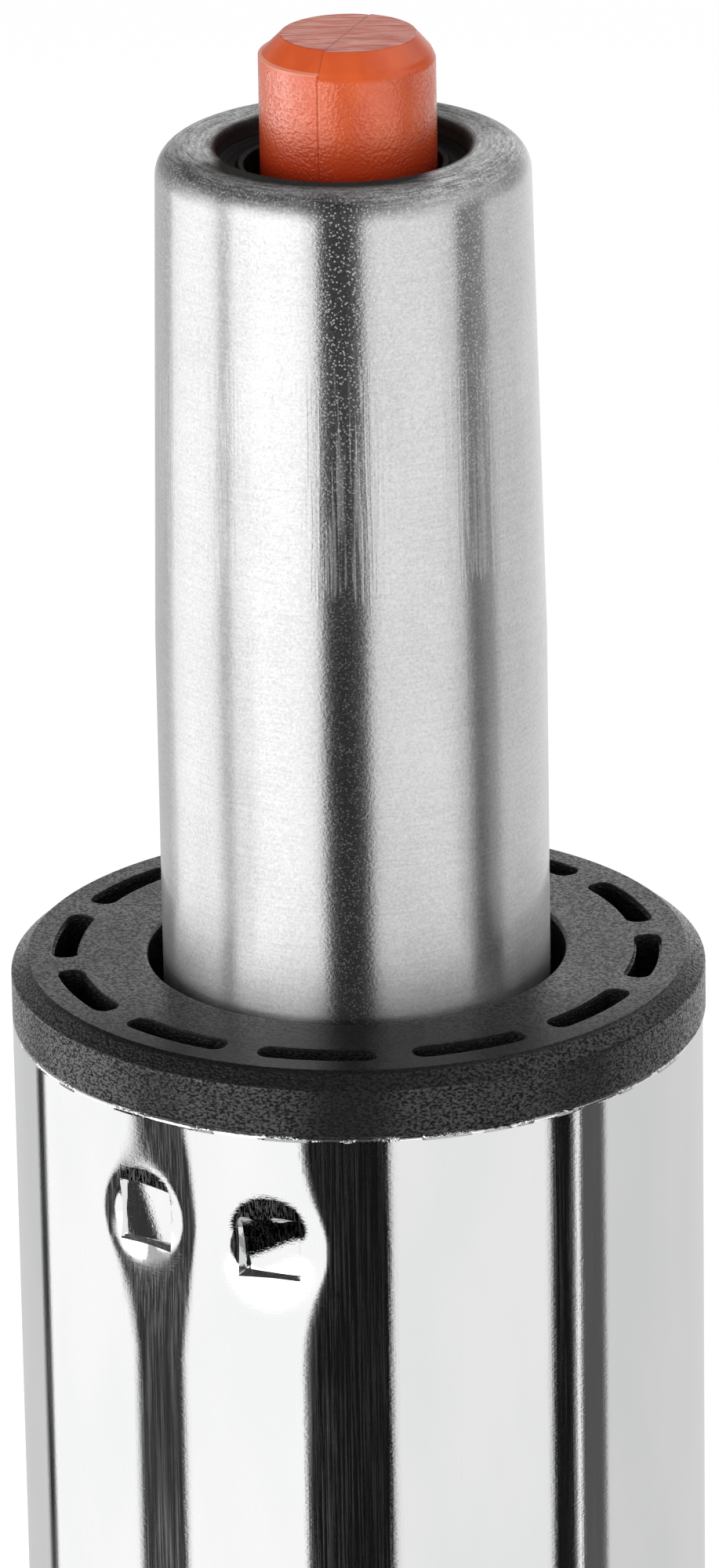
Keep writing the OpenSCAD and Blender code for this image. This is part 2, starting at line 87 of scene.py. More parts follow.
# Bush: bores, collar edges and slots. The collar's shift to +X begins at a radius and is whole a
# little further out.
BUSH_R = COLUMN_R - COLUMN_WALL - 0.02
GUIDE_R = TUBE_R + 0.08
MOUTH_R = TUBE_R + 1.1
MOUTH_DEPTH = 12.0
MOUTH_ROUND = 0.3
CHAMFER_W = 1.3
CHAMFER_H = 1.1
CHAMFER_ROUND = 0.3
COLLAR_EDGE_ROUND = 0.22
COLLAR_TOP_ROUND = 0.14
COLLAR_SHIFT = 0.1
SHIFT_FROM = BUSH_R + 0.1
SHIFT_OVER = 0.8
BUSH_END_ROUND = 0.3
GUIDE_ROUND = 0.2
GROOVE_DEPTH = 0.95
GROOVE_H = 4.6
SLOT_N = 12
SLOT_TURN = -8.0
SLOT_R = BUSH_R - 2.43
SLOT_HALF_W = 0.84
SLOT_HALF_L = 4.1
SLOT_ROUND = 0.72
SLOT_STEP = 0.13
SLOT_STEP_DEPTH = 0.34
SLOT_EDGE = 0.08
SLOT_FLOOR = BUSH_Z + 6.0
FLAT_LOW_R = MOUTH_R + 0.7
FLAT_HIGH_R = COLLAR_R - COLLAR_SHIFT - CHAMFER_W - 0.4

# Tube: seat taper, shoulder and rolled lips
SEAT_TAPER = 36.6
SEAT_DROP = 0.8
SHOULDER_R = 2.2
TUBE_BORE_R = TUBE_R - 2.5
LIP_HOLE_R = TUBE_BORE_R - 2.6
LIP_DIP = 0.35
LIP_ROUND = 0.4
FOOT_LIP_T = 2.0
FOOT_LIP_HOLE_R = TUBE_BORE_R - 3.0
FOOT_LIP_ROUND = 0.5
TUBE_FOOT_ROUND = 1.0
LINED_LOW = TUBE_TOP - 27.0
LINED_HIGH = TUBE_TOP - 9.0

# Valve cover: a trough, and a bead round the button's hole
COVER_HOLE_R = BUTTON_R + 0.75
COVER_ROUND = 0.2
TROUGH_DEPTH = 0.35
TROUGH_HIGH_R = COVER_HOLE_R + 1.7
TROUGH_LOW_R = COVER_HOLE_R + 1.4
BEAD_HIGH_R = COVER_HOLE_R + 0.6
BEAD_LOW_R = COVER_HOLE_R + 0.4
BEAD_DROP = 0.05
BEAD_ROUND = 0.12
HOLE_DROP = 0.15
HOLE_ROUND = 0.15

# Button: two halves that differ in their bevels. Each of the blended bevel's corners lies so far
# inside the button's side and so high above the ledge.
LEDGED_FLAT_R = 4.62
BLENDED_FLAT_R = 4.88
BEVEL_H = 1.42
LEDGE_W = 0.22
LEDGE_RISE = 0.03
LEDGE_ROUND = 0.09
LEDGE_INNER_ROUND = 0.05
FLAT_ROUND = 0.12
BUTTON_FOOT_ROUND = 0.3
BLEND_LOW = (0.02, -0.45)
BLEND_HIGH = (0.28, 0.12)
BLEND_ROUND = 0.8
HALF_STEP = 0.04
SOCKET_R = 2.52
SOCKET_DEPTH = 8.0
PARTING_TURN = -19.6
PARTING_W = 0.07
PARTING_DEPTH = 0.05

# Grids: lines over half a mark's floor, over its wall and out over its dish, where the spread makes
# them grow apart; how near a pair's middle they run; the least distance between rows; and steps on
# the plain wall between two pairs of marks
FLOOR_LINES = 5
WALL_LINES = 3
DISH_LINES = 17
DISH_SPREAD = 1.4
MIDDLE_SHARE = 0.97
LEAST_ROW = 0.02
PLAIN_STEPS = 80
# Steps along a slot and across it, round the tube and the cover, and over a quarter of the button
SLOT_STEPS = 22
SLOT_END_STEPS = 10
TUBE_STEPS = 288
COVER_STEPS = 192
BUTTON_STEPS = 60
BUTTON_SPREAD = 1.6
# A small outline's distance from a fillet's end to the next point on the flat
SMALL_GUARD = 0.03
# Points of one mesh that lie nearer than this are one point, in metres
WELD = 1e-6


def unit(vector):
    """The vector at length 1."""
    return vector / np.linalg.norm(vector)


def rounded(corners, steps=8, guard=0.1):
    """Outline through corners of (radius, height, fillet). A filleted corner becomes an arc that
    touches both its sides, with one more point beyond each end so that the flats stay flat."""
    corners = np.array(corners, float)
    runs = []
    for before, corner, after in zip(np.roll(corners, 1, 0), corners, np.roll(corners, -1, 0)):
        point, fillet = corner[:2], corner[2]
        if fillet == 0:
            runs.append(point[None])
            continue
        back = unit(before[:2] - point)
        ahead = unit(after[:2] - point)
        half = math.acos(np.clip(back @ ahead, -1, 1)) / 2
        reach = fillet / math.tan(half)
        centre = point + unit(back + ahead) * fillet / math.sin(half)
        turning = math.copysign(math.pi - 2 * half, ahead[0] * back[1] - ahead[1] * back[0])
        angles = np.linspace(0, turning, steps + 1)[:, None]
        start = point + back * reach - centre
        across = np.array([-start[1], start[0]])
        arc = centre + start * np.cos(angles) + across * np.sin(angles)
        runs.append(np.vstack([point + back * (reach + guard), arc, point + ahead * (reach + guard)]))
    return np.vstack(runs)


def swept(radius, azimuth, height):
    """Points at a radius, an azimuth counted from the front (-Y) towards +X, and a height."""
    return np.stack(np.broadcast_arrays(radius * np.sin(azimuth), -radius * np.cos(azimuth), height), -1)


def turned(outline, azimuths):
    """Every outline point carried round the axis; a row of the grid follows each point."""
    return swept(outline[:, :1], azimuths[None], outline[:, 1:])


def even_turn(count):
    """Azimuths at even steps over a whole turn."""
    return np.arange(count) * 2 * np.pi / count


def grid_faces(rows, columns, closed_rows=False):
    """Quads between neighbouring points of a grid that is numbered row by row. The last column joins
    the first, and so does the last row where the rows are closed."""
    row, column = np.meshgrid(
        np.arange(rows if closed_rows else rows - 1), np.arange(columns), indexing="ij"
    )
    next_row = (row + 1) % rows * columns
    next_column = (column + 1) % columns
    row = row * columns
    corners = [row + column, row + next_column, next_row + next_column, next_row + column]
    return np.stack(corners, -1).reshape(-1, 4)


def closed_mesh(name, points, faces, crease, attributes):
    """Mesh from points in millimetres and quads by number, with doubled points merged, quads that
    shrink to lines dropped and every face turned outwards. Edges sharper than the crease stay sharp."""
    mesh = bpy.data.meshes.new(name)
    mesh.from_pydata((points.reshape(-1, 3) * MM).tolist(), [], faces.tolist())
    for key, values in attributes.items():
        layer = mesh.attributes.new(key, "FLOAT", "POINT")
        layer.data.foreach_set("value", values.astype(np.float32).ravel())
    shell = bmesh.new()
    shell.from_mesh(mesh)
    bmesh.ops.remove_doubles(shell, verts=shell.verts, dist=WELD)
    bmesh.ops.dissolve_degenerate(shell, dist=WELD, edges=shell.edges)
    bmesh.ops.recalc_face_normals(shell, faces=shell.faces)
    shell.to_mesh(mesh)
    shell.free()
    mesh.shade_smooth()
    mesh.set_sharp_from_angle(angle=math.radians(crease))
    return mesh


def put_piece(name, points, faces, finish, body, slot, node, crease=40.0, **attributes):
    """A piece of the lift that rides a body and stands for a node of the frame."""
    mesh = closed_mesh(name, points, faces, crease, attributes)
    mesh.materials.append(finish)
    made = bpy.data.objects.new(name, mesh)
    bpy.context.scene.collection.objects.link(made)
    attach(made, body)
    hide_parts(node)
    return made


# Column with its press marks


def mark_lines():
    """Distances from a press mark's middle at which grid lines run: even over the floor, at both
    edges of the pocket's wall, then further and further apart out over the dish."""
    floor = np.linspace(0, MARK_HALF - MARK_WALL, FLOOR_LINES)
    wall = np.linspace(MARK_HALF - MARK_WALL, MARK_HALF, WALL_LINES)
    dish = MARK_HALF + (DISH_REACH - MARK_HALF) * np.linspace(0, 1, DISH_LINES) ** DISH_SPREAD
    half = np.unique(np.concatenate([floor, wall, dish]).round(6))
    return np.concatenate([-half[:0:-1], half])


def column_azimuths():
    """Grid lines round the column: a mark's lines on both sides of each pair's middle, which meet
    halfway between the two marks, and even steps from one pair to the next."""
    half_pitch = math.radians(MARK_PITCH / 2)
    arc = mark_lines() / COLUMN_R
    left = arc[arc < MIDDLE_SHARE * half_pitch] - half_pitch
    pair = np.concatenate([left, [0.0], -left[::-1]])
    share = 2 * np.pi / MARK_PAIRS
    plain = np.linspace(pair[-1], pair[0] + share, PLAIN_STEPS + 2)[1:-1]
    one_share = np.concatenate([pair, plain])
    shares = [one_share + share * count for count in range(MARK_PAIRS)]
    return np.concatenate(shares) + math.radians(MARK_TURN)


def pressed(azimuths, heights):
    """How deep the marks press the wall in at each height and azimuth, and how far into a pocket
    that is, from 0 to 1: a deep and a shallow bell curve for each dish, and a square pocket with
    sloped walls, whose floor leans, twists and bends."""
    depth = np.zeros(np.broadcast_shapes(azimuths.shape, heights.shape))
    pocket = np.zeros_like(depth)
    for pair in range(MARK_PAIRS):
        for side in (-1, 1):
            up = heights - MARK_Z + side * MARK_TILT
            middle = math.radians(MARK_TURN + side * MARK_PITCH / 2 + pair * 360 / MARK_PAIRS)
            across = COLUMN_R * np.arctan2(np.sin(azimuths - middle), np.cos(azimuths - middle))
            dish = sum(
                deep * np.exp(-((across / wide) ** 2) - (up / tall) ** 2)
                for deep, wide, tall in DISHES[side]
            )
            edge = np.maximum(np.abs(across), np.abs(up))
            inside = np.clip((MARK_HALF - edge) / MARK_WALL, 0, 1)
            lean_across, lean_up, twist, bend_across, bend_up = FLOORS[side]
            floor = POCKET_DEPTH + lean_across * across + lean_up * up + twist * across * up
            floor = floor + (bend_across * across**2 + bend_up * up**2) / 2
            depth += dish + (floor - dish) * inside
            pocket = np.maximum(pocket, inside)
    return depth, pocket


def chrome_column(finish):
    """The column's wall turned from its outline, with the press marks pushed into its outside and
    bulging from its inside as far as the bush's groove."""
    inside_r = COLUMN_R - COLUMN_WALL
    foot_r = COLUMN_R - FOOT_DROP
    rows = np.sort(np.concatenate([MARK_Z + side * MARK_TILT + mark_lines()[1:-1] for side in (-1, 1)]))
    rows = rows[(rows < COLUMN_TOP - 3 * RIM_ROUND) & (np.diff(rows, prepend=0) > LEAST_ROW)]
    outline = rounded(
        [(foot_r, FOOT_Z, FOOT_ROUND), (COLUMN_R, FOOT_TAPER, 0)]
        + [(COLUMN_R, z, 0) for z in rows]
        + [(COLUMN_R, COLUMN_TOP, RIM_ROUND), (inside_r, COLUMN_TOP, RIM_INNER_ROUND)]
        + [(inside_r, z, 0) for z in rows[::-1]]
        + [(inside_r, FOOT_TAPER, 0), (foot_r - COLUMN_WALL, FOOT_Z, RIM_INNER_ROUND)]
    )
    azimuths = column_azimuths()
    depth, pocket = pressed(azimuths[None], outline[:, 1:])
    deepest = np.where(outline[:, :1] > inside_r + RIM_INNER_ROUND, COLUMN_WALL, GROOVE_DEPTH)
    points = swept(outline[:, :1] - np.minimum(depth, deepest), azimuths[None], outline[:, 1:])
    faces = grid_faces(len(outline), len(azimuths), closed_rows=True)
    put_piece(
        "chrome_column", points, faces, finish, "column", "chrome", "outer_tube", crease=30, pocket=pocket
    )


# Bush with its slotted collar


def square_walk(along, across):
    """Points round the edge of a square from -1 to 1, with a count for each side along X and
    another for each side along Y."""
    length = np.linspace(-1, 1, along, endpoint=False)
    width = np.linspace(-1, 1, across, endpoint=False)
    x = np.concatenate([length, np.ones(across), -length, -np.ones(across)])
    y = np.concatenate([-np.ones(along), width, np.ones(along), -width])
    return x, y


def slot_outline(x, y, swell):
    """Points along and across a slot for points on the edge of a square: the square is stretched
    to the slot's length and width, and what lies beyond its core is drawn back to one distance
    from the core, so that the corners are round."""
    core_l = SLOT_HALF_L - SLOT_ROUND
    core_w = SLOT_HALF_W - SLOT_ROUND
    along = (SLOT_HALF_L + swell) * x
    across = (SLOT_HALF_W + swell) * y
    core_along = np.clip(along, -core_l, core_l)
    core_across = np.clip(across, -core_w, core_w)
    draw = (SLOT_ROUND + swell) / np.hypot(along - core_along, across - core_across)
    return core_along + (along - core_along) * draw, core_across + (across - core_across) * draw


def collar_sector():
    """One slot's share of the collar's top, as azimuth, radius and height. Every row runs round
    the slot: from the line along its floor, out to its wall, up, over a small step and its rounded
    edge, and then mixed from the slot's outline into the edge of the share."""
    x, y = square_walk(SLOT_STEPS, SLOT_END_STEPS)
    fill = np.linspace(0, 1, 3)[:, None]
    wall_along, wall_across = slot_outline(x, y, 0.0)
    floor_azimuth = wall_along * (1 - SLOT_HALF_W / SLOT_HALF_L * (1 - fill)) / SLOT_R
    floor_radius = SLOT_R + wall_across * fill
    lean = np.linspace(0, np.pi / 2, 6)[:, None]
    swell = np.vstack([[[0.0], [SLOT_STEP]], SLOT_STEP + SLOT_EDGE * (1 - np.cos(lean))])
    edge_depth = np.vstack([[[SLOT_STEP_DEPTH], [SLOT_STEP_DEPTH]], SLOT_EDGE * (1 - np.sin(lean))])
    edge_along, edge_across = slot_outline(x, y, swell)
    edge_azimuth = edge_along / SLOT_R
    edge_radius = SLOT_R + edge_across
    mix = np.array([0.06, 0.25, 0.5, 0.75, 1.0])[:, None]
    top_azimuth = edge_azimuth[-1] * (1 - mix) + np.pi / SLOT_N * x * mix
    share_radius = (FLAT_LOW_R + FLAT_HIGH_R) / 2 + (FLAT_HIGH_R - FLAT_LOW_R) / 2 * y
    top_radius = edge_radius[-1] * (1 - mix) + share_radius * mix
    azimuth = np.vstack([floor_azimuth, edge_azimuth, top_azimuth])
    radius = np.vstack([floor_radius, edge_radius, top_radius])
    height = np.vstack([0 * fill + SLOT_FLOOR, COLLAR_TOP - edge_depth, 0 * mix + COLLAR_TOP])
    return azimuth, radius, height


def slotted_bush(finish):
    """The bush's outline turned from the mouth down its bore, under and up to the collar's flat
    top, and twelve slotted shares that close the top. The collar's edge stands a little to +X."""
    edge_r = COLLAR_R - COLLAR_SHIFT
    mouth_z = COLLAR_TOP - MOUTH_DEPTH
    groove_low = MARK_Z - GROOVE_H / 2
    groove_high = MARK_Z + GROOVE_H / 2
    groove_r = BUSH_R - GROOVE_DEPTH
    outline = rounded([
        (FLAT_LOW_R, COLLAR_TOP, 0),
        (MOUTH_R, COLLAR_TOP, MOUTH_ROUND),
        (MOUTH_R, mouth_z, 0),
        (GUIDE_R, mouth_z, GUIDE_ROUND),
        (GUIDE_R, BUSH_Z, BUSH_END_ROUND),
        (BUSH_R, BUSH_Z, BUSH_END_ROUND),
        (BUSH_R, groove_low, 0),
        (groove_r, groove_low, 0),
        (groove_r, groove_high, 0),
        (BUSH_R, groove_high, 0),
        (BUSH_R, COLUMN_TOP, 0),
        (edge_r, COLUMN_TOP, COLLAR_EDGE_ROUND),
        (edge_r, COLLAR_TOP - CHAMFER_H, CHAMFER_ROUND),
        (edge_r - CHAMFER_W, COLLAR_TOP, COLLAR_TOP_ROUND),
        (FLAT_HIGH_R, COLLAR_TOP, 0),
    ])
    turn = math.radians(SLOT_TURN) - np.pi / SLOT_N
    walls = turned(outline, even_turn(SLOT_N * SLOT_STEPS) + turn)
    wall_faces = grid_faces(*walls.shape[:2])
    azimuth, radius, height = collar_sector()
    middles = even_turn(SLOT_N)[:, None, None] + math.radians(SLOT_TURN)
    shares = swept(radius[None], azimuth[None] + middles, height[None])
    share_faces = grid_faces(*azimuth.shape)
    starts = walls[..., 0].size + np.arange(SLOT_N)[:, None, None] * azimuth.size
    points = np.vstack([walls.reshape(-1, 3), shares.reshape(-1, 3)])
    beyond = np.hypot(points[:, 0], points[:, 1]) - SHIFT_FROM
    points[:, 0] += COLLAR_SHIFT * np.clip(beyond / SHIFT_OVER, 0, 1)
    faces = np.vstack([wall_faces, (share_faces[None] + starts).reshape(-1, 4)])
    return put_piece("slotted_bush", points, faces, finish, "column", "black_nylon", "guide_bush")


# Gas spring tube, valve cover and release button


def satin_tube(finish):
    """The tube turned from its outline: straight wall, seat taper, round shoulder, a top that dips
    towards the rolled lip's hole, the bore and the lower lip."""
    outline = rounded([
        (TUBE_R, TUBE_Z, TUBE_FOOT_ROUND),
        (TUBE_R, TUBE_TOP - SEAT_TAPER, 0),
        (TUBE_R - SEAT_DROP, TUBE_TOP, SHOULDER_R),
        (LIP_HOLE_R, TUBE_TOP - LIP_DIP, LIP_ROUND),
        (LIP_HOLE_R, COVER_TOP, 0),
        (TUBE_BORE_R, COVER_TOP, 0),
        (TUBE_BORE_R, TUBE_Z + FOOT_LIP_T, 0),
        (FOOT_LIP_HOLE_R, TUBE_Z + FOOT_LIP_T, 0),
        (FOOT_LIP_HOLE_R, TUBE_Z, FOOT_LIP_ROUND),
    ], steps=16)
    points = turned(outline, even_turn(TUBE_STEPS))
    faces = grid_faces(*points.shape[:2], closed_rows=True)
    put_piece("satin_tube", points, faces, finish, "tube", "satin_steel", "pressure_tube")


def valve_ring(finish):
    """The cover turned from its outline: a shallow trough under the lip and a small bead round the
    button's hole."""
    outline = rounded([
        (COVER_R, COVER_Z, COVER_ROUND),
        (COVER_R, COVER_TOP, 0),
        (TROUGH_HIGH_R, COVER_TOP, COVER_ROUND),
        (TROUGH_LOW_R, COVER_TOP - TROUGH_DEPTH, COVER_ROUND),
        (BEAD_HIGH_R, COVER_TOP - TROUGH_DEPTH, COVER_ROUND),
        (BEAD_LOW_R, COVER_TOP - BEAD_DROP, BEAD_ROUND),
        (COVER_HOLE_R, COVER_TOP - HOLE_DROP, HOLE_ROUND),
        (COVER_HOLE_R, COVER_Z, COVER_ROUND),
    ], guard=SMALL_GUARD)
    points = turned(outline, even_turn(COVER_STEPS))
    faces = grid_faces(*points.shape[:2], closed_rows=True)
    put_piece("valve_ring", points, faces, finish, "tube", "black_nylon", "valve_cover")


def button_azimuths():
    """Grid lines round the button, drawn close together on both sides of its parting line."""
    half = np.pi / 2 * np.linspace(0, 1, BUTTON_STEPS + 1) ** BUTTON_SPREAD
    side = np.concatenate([-half[:0:-1], half[:-1]])
    return np.concatenate([side, side + np.pi]) + math.radians(PARTING_TURN)


def parted_button(finish):
    """The button as two moulded halves. One half's bevel ends on a small ledge and stands proud;
    the other half, towards +X, blends its bevel into its side. Both outlines are turned, one gives
    way to the other across the parting line, and a hair groove, a bell curve across that line,
    sinks along the outline's normal."""
    socket_z = BUTTON_Z + SOCKET_DEPTH
    base = [
        (0, socket_z, 0),
        (SOCKET_R, socket_z, 0),
        (SOCKET_R, BUTTON_Z, 0),
        (BUTTON_R, BUTTON_Z, BUTTON_FOOT_ROUND),
    ]
    ledge_z = BUTTON_TOP - BEVEL_H
    ledged = rounded(base + [
        (BUTTON_R, ledge_z, LEDGE_ROUND),
        (BUTTON_R - LEDGE_W, ledge_z + LEDGE_RISE, LEDGE_INNER_ROUND),
        (LEDGED_FLAT_R, BUTTON_TOP, FLAT_ROUND),
        (0, BUTTON_TOP, 0),
    ], guard=SMALL_GUARD)
    blended = rounded(base + [
        (BUTTON_R - BLEND_LOW[0], ledge_z + BLEND_LOW[1], BLEND_ROUND),
        (BUTTON_R - BLEND_HIGH[0], ledge_z + BLEND_HIGH[1], BLEND_ROUND),
        (BLENDED_FLAT_R, BUTTON_TOP - HALF_STEP, FLAT_ROUND),
        (0, BUTTON_TOP - HALF_STEP, 0),
    ], guard=SMALL_GUARD)
    azimuths = button_azimuths()
    aside = ledged[:, :1] * np.sin(azimuths - math.radians(PARTING_TURN))[None]
    share = np.clip(0.5 - aside / PARTING_W, 0, 1)
    radius = blended[:, :1] * (1 - share) + ledged[:, :1] * share
    height = blended[:, 1:] * (1 - share) + ledged[:, 1:] * share
    run = np.gradient(ledged, axis=0)
    normal = np.stack([run[:, 1], -run[:, 0]], -1) / np.linalg.norm(run, axis=1)[:, None]
    outside = (np.arange(len(ledged)) >= len(base) - 1)[:, None]
    groove = PARTING_DEPTH * np.exp(-((aside / PARTING_W) ** 2)) * outside
    points = swept(radius - groove * normal[:, :1], azimuths[None], height - groove * normal[:, 1:])
    points[..., 0] += BUTTON_X * outside
    faces = grid_faces(*points.shape[:2])
    return put_piece(
        "parted_button", points, faces, finish, "button", "orange_plastic", "release_button", crease=32
    )


# Finishes


class Shade:
    """One output of a node tree. Arithmetic on it adds Math nodes; node() adds any other kind."""

    def __init__(self, tree, socket=None):
        self.tree = tree
        self.socket = socket

    def node(self, kind, settings, inputs, output=0):
        """Adds a node of a type, sets its settings and ramp stops, then sets or links its inputs,
        and gives back one of its outputs."""
        made = self.tree.nodes.new("ShaderNode" + kind)
        for key, value in settings.items():
            if key == "stops":
                set_stops(made.color_ramp.elements, value)
            else:
                setattr(made, key, value)
        for key, value in inputs.items():
            if isinstance(value, Shade):
                self.tree.links.new(value.socket, made.inputs[key])
            else:
                made.inputs[key].default_value = value
        return Shade(self.tree, made.outputs[output])

    def math(self, operation, *values):
        """A Math node on the values."""
        return self.node("Math", {"operation": operation}, dict(enumerate(values)))

    def __add__(self, other):
        return self.math("ADD", self, other)

    def __radd__(self, other):
        return self.math("ADD", other, self)

    def __sub__(self, other):
        return self.math("SUBTRACT", self, other)

    def __rsub__(self, other):
        return self.math("SUBTRACT", other, self)

    def __mul__(self, other):
        return self.math("MULTIPLY", self, other)

    def __rmul__(self, other):
        return self.math("MULTIPLY", other, self)

    def __truediv__(self, other):
        return self.math("DIVIDE", self, other)

    def split(self):
        """The three parts of a vector."""
        return [self.node("SeparateXYZ", {}, {0: self}, part) for part in ("X", "Y", "Z")]

    def smooth(self, low, high):
        """0 below low, 1 above high and an S curve between them."""
        steps = {"Value": self, "From Min": low, "From Max": high}
        return self.node("MapRange", {"interpolation_type": "SMOOTHSTEP"}, steps)

    def place(self, stretch=(1, 1, 1)):
        """The piece's own coordinates in millimetres, stretched along each axis."""
        where = self.node("TexCoord", {}, {}, "Object")
        return self.node("Mapping", {}, {"Vector": where, "Scale": [part / MM for part in stretch]})

    def noise(self, stretch, detail=2.0, roughness=0.5):
        """Soft noise whose grains are 1 over the stretch, in millimetres, along each axis."""
        values = {"Vector": self.place(stretch), "Scale": 1.0, "Detail": detail, "Roughness": roughness}
        return self.node("TexNoise", {}, values)

    def rings(self, spread, along, detail, roughness=0.5):
        """Noise drawn out into rings: slow across the axis, and quick along a value that changes up
        the piece's outline."""
        x, y, _ = self.place().split()
        where = self.node("CombineXYZ", {}, {0: x * spread, 1: y * spread, 2: along})
        values = {"Vector": where, "Scale": 1.0, "Detail": detail, "Roughness": roughness}
        return self.node("TexNoise", {}, values)

    def cells(self, stretch):
        """Distance within cells of about 1 over the stretch, in millimetres."""
        values = {"Vector": self.place(stretch), "Scale": 1.0}
        return self.node("TexVoronoi", {}, values, "Distance")

    def mix(self, first, second):
        """The first colour where this value is 0, the second where it is 1. The node's sockets go by
        number, because its numbers, vectors and colours share their names."""
        colours = {0: self, 6: first, 7: second}
        return self.node("Mix", {"data_type": "RGBA"}, colours, 2)

    def bump(self):
        """Normals of a surface raised by this value in millimetres."""
        return self.node("Bump", {}, {"Strength": 1.0, "Distance": MM, "Height": self}, "Normal")

    def into(self, node, socket):
        """Links this value to an input of a node that is there already."""
        self.tree.links.new(self.socket, node.inputs[socket])


def set_stops(elements, stops):
    """Gives a ramp its stops, each a place from 0 to 1 and a grey level."""
    for place, _ in stops[2:]:
        elements.new(place)
    for element, (place, level) in zip(elements, sorted(stops)):
        element.position = place
        element.color = (level, level, level, 1)


def colour(red, green, blue):
    """A colour with full alpha."""
    return (red, green, blue, 1.0)


def new_finish(name, **constants):
    """A material with one Principled shader and its constant values; gives the material, the
    shader and a start for its nodes."""
    material = bpy.data.materials.new(name)
    material.use_nodes = True
    shader = material.node_tree.nodes["Principled BSDF"]
    for key, value in constants.items():
        shader.inputs[key.replace("_", " ")].default_value = value
    return material, shader, Shade(material.node_tree)


def chrome_plate():
    """Bright plating: hair-fine upright polishing lines that scatter light, most of all towards -X,
    a fine tooth across them that roughens the edges of what it mirrors, rough pocket floors and a
    rim that is burred in places."""
    material, shader, start = new_finish("chrome_plate", IOR=1.3)
    hairs = start.noise((9, 9, 0.08), 3.0, 0.65)
    streaks = hairs.smooth(0.42, 0.70)
    tooth = start.noise((3.0, 3.0, 8.0), 2.0, 0.6)
    clouds = start.noise((0.15, 0.15, 0.05), 2.0).smooth(0.3, 0.7)
    pocket = start.node("Attribute", {"attribute_name": "pocket"}, {}, "Fac").smooth(0.8, 1.0)
    grit = start.noise((5.0, 5.0, 5.0), 2.0, 0.6)
    clouds.mix(colour(0.86, 0.865, 0.87), colour(0.90, 0.90, 0.905)).into(shader, "Base Color")
    x, _, z = start.place().split()
    worn = (-1 * x).smooth(-1.0, 11.0) * (1 - pocket)
    (1 - streaks * (0.02 + worn * (0.035 + 0.14 * clouds))).into(shader, "Metallic")
    (0.03 + 0.06 * streaks * clouds).into(shader, "Roughness")
    rim = z.smooth(COLUMN_TOP - 0.40, COLUMN_TOP - 0.22)
    patches = start.noise((0.4, 0.4, 0.4), 1.0).smooth(0.5, 0.62)
    burr = start.noise((3.0, 3.0, 3.0), 2.0, 0.6) * (0.1 + patches)
    height = hairs * 0.0008 + tooth * 0.0026 + grit * pocket * 0.007 + burr * rim * 0.25
    height.bump().into(shader, "Normal")
    return material


def satin_steel():
    """Ground steel under a thin clear film: rings of fine lines round the axis that spread what it
    mirrors up and down, specks that scatter light, a band of upright lines round the seat taper,
    and a brushed top with a dull lip, painted nearly black round the hole as painted shade, over a
    wider ring towards the front."""
    material, shader, start = new_finish(
        "satin_steel_ground",
        Specular_IOR_Level=0.0,
        Anisotropic=1.0,
        Anisotropic_Rotation=0.25,
        Coat_Roughness=0.1,
    )
    x, y, z = start.place().split()
    radius = start.math("SQRT", x * x + y * y)
    rings = start.rings(0.3, (z - radius) * 5.0, 4.0, 0.7)
    grain = start.noise((5.0, 5.0, 5.0), 2.0, 0.6)
    specks = 1 - start.cells((4.5, 4.5, 4.5)).smooth(0.20, 0.40)
    clouds = start.noise((0.25, 0.25, 0.12), 3.0)
    pits = start.noise((5.5, 5.5, 5.5), 1.0).smooth(0.62, 0.74)
    upright = start.noise((4.5, 4.5, 0.03), 1.0).smooth(0.45, 0.65)
    ragged = z + 5.0 * start.noise((2.2, 2.2, 0.02), 1.0)
    lined = ragged.smooth(LINED_LOW, LINED_LOW + 0.8) * (1 - ragged.smooth(LINED_HIGH - 3, LINED_HIGH))
    high = z.smooth(TUBE_TOP - 30, TUBE_TOP - 6)
    flat = z.smooth(TUBE_TOP - 1.8, TUBE_TOP - 0.5)
    # Painted shade: the lip round the hole is painted nearly black, over a wider ring towards the front
    front = (-0.97 * y - 0.26 * x).smooth(0.55 * LIP_HOLE_R, LIP_HOLE_R)
    lip = 1 - radius.smooth(LIP_HOLE_R + 0.1 + 1.4 * front, LIP_HOLE_R + 0.8 + 3.0 * front)
    brushed = start.rings(0.5, (z - radius) * 4.0, 4.0, 0.7)
    tone = (0.35 * rings + 0.3 * clouds + 0.55 * grain - 0.12 * pits).smooth(0.3, 0.85)
    wall = tone.mix(colour(0.62, 0.62, 0.625), colour(1.0, 1.0, 1.0))
    top_tone = (0.75 * brushed + 0.5 * grain).smooth(0.40, 0.86)
    top = top_tone.mix(colour(0.14, 0.14, 0.142), colour(0.84, 0.84, 0.84))
    ground = flat.mix(wall, top)
    # The lip's painted shade: its base colour goes nearly black and it loses its metal
    (0.96 * lip).mix(ground, colour(0.02, 0.02, 0.02)).into(shader, "Base Color")
    scatter = specks * (0.10 + 0.36 * high) + upright * lined * 0.18
    ((1 - scatter) * (1 - lip)).into(shader, "Metallic")
    (0.26 + 0.06 * rings + 0.06 * clouds + 0.3 * lip).into(shader, "Roughness")
    (0.6 * (1 - flat)).into(shader, "Coat Weight")
    height = rings * (0.003 + 0.01 * flat) + grain * 0.008 + upright * lined * 0.003
    height.bump().into(shader, "Normal")
    return material


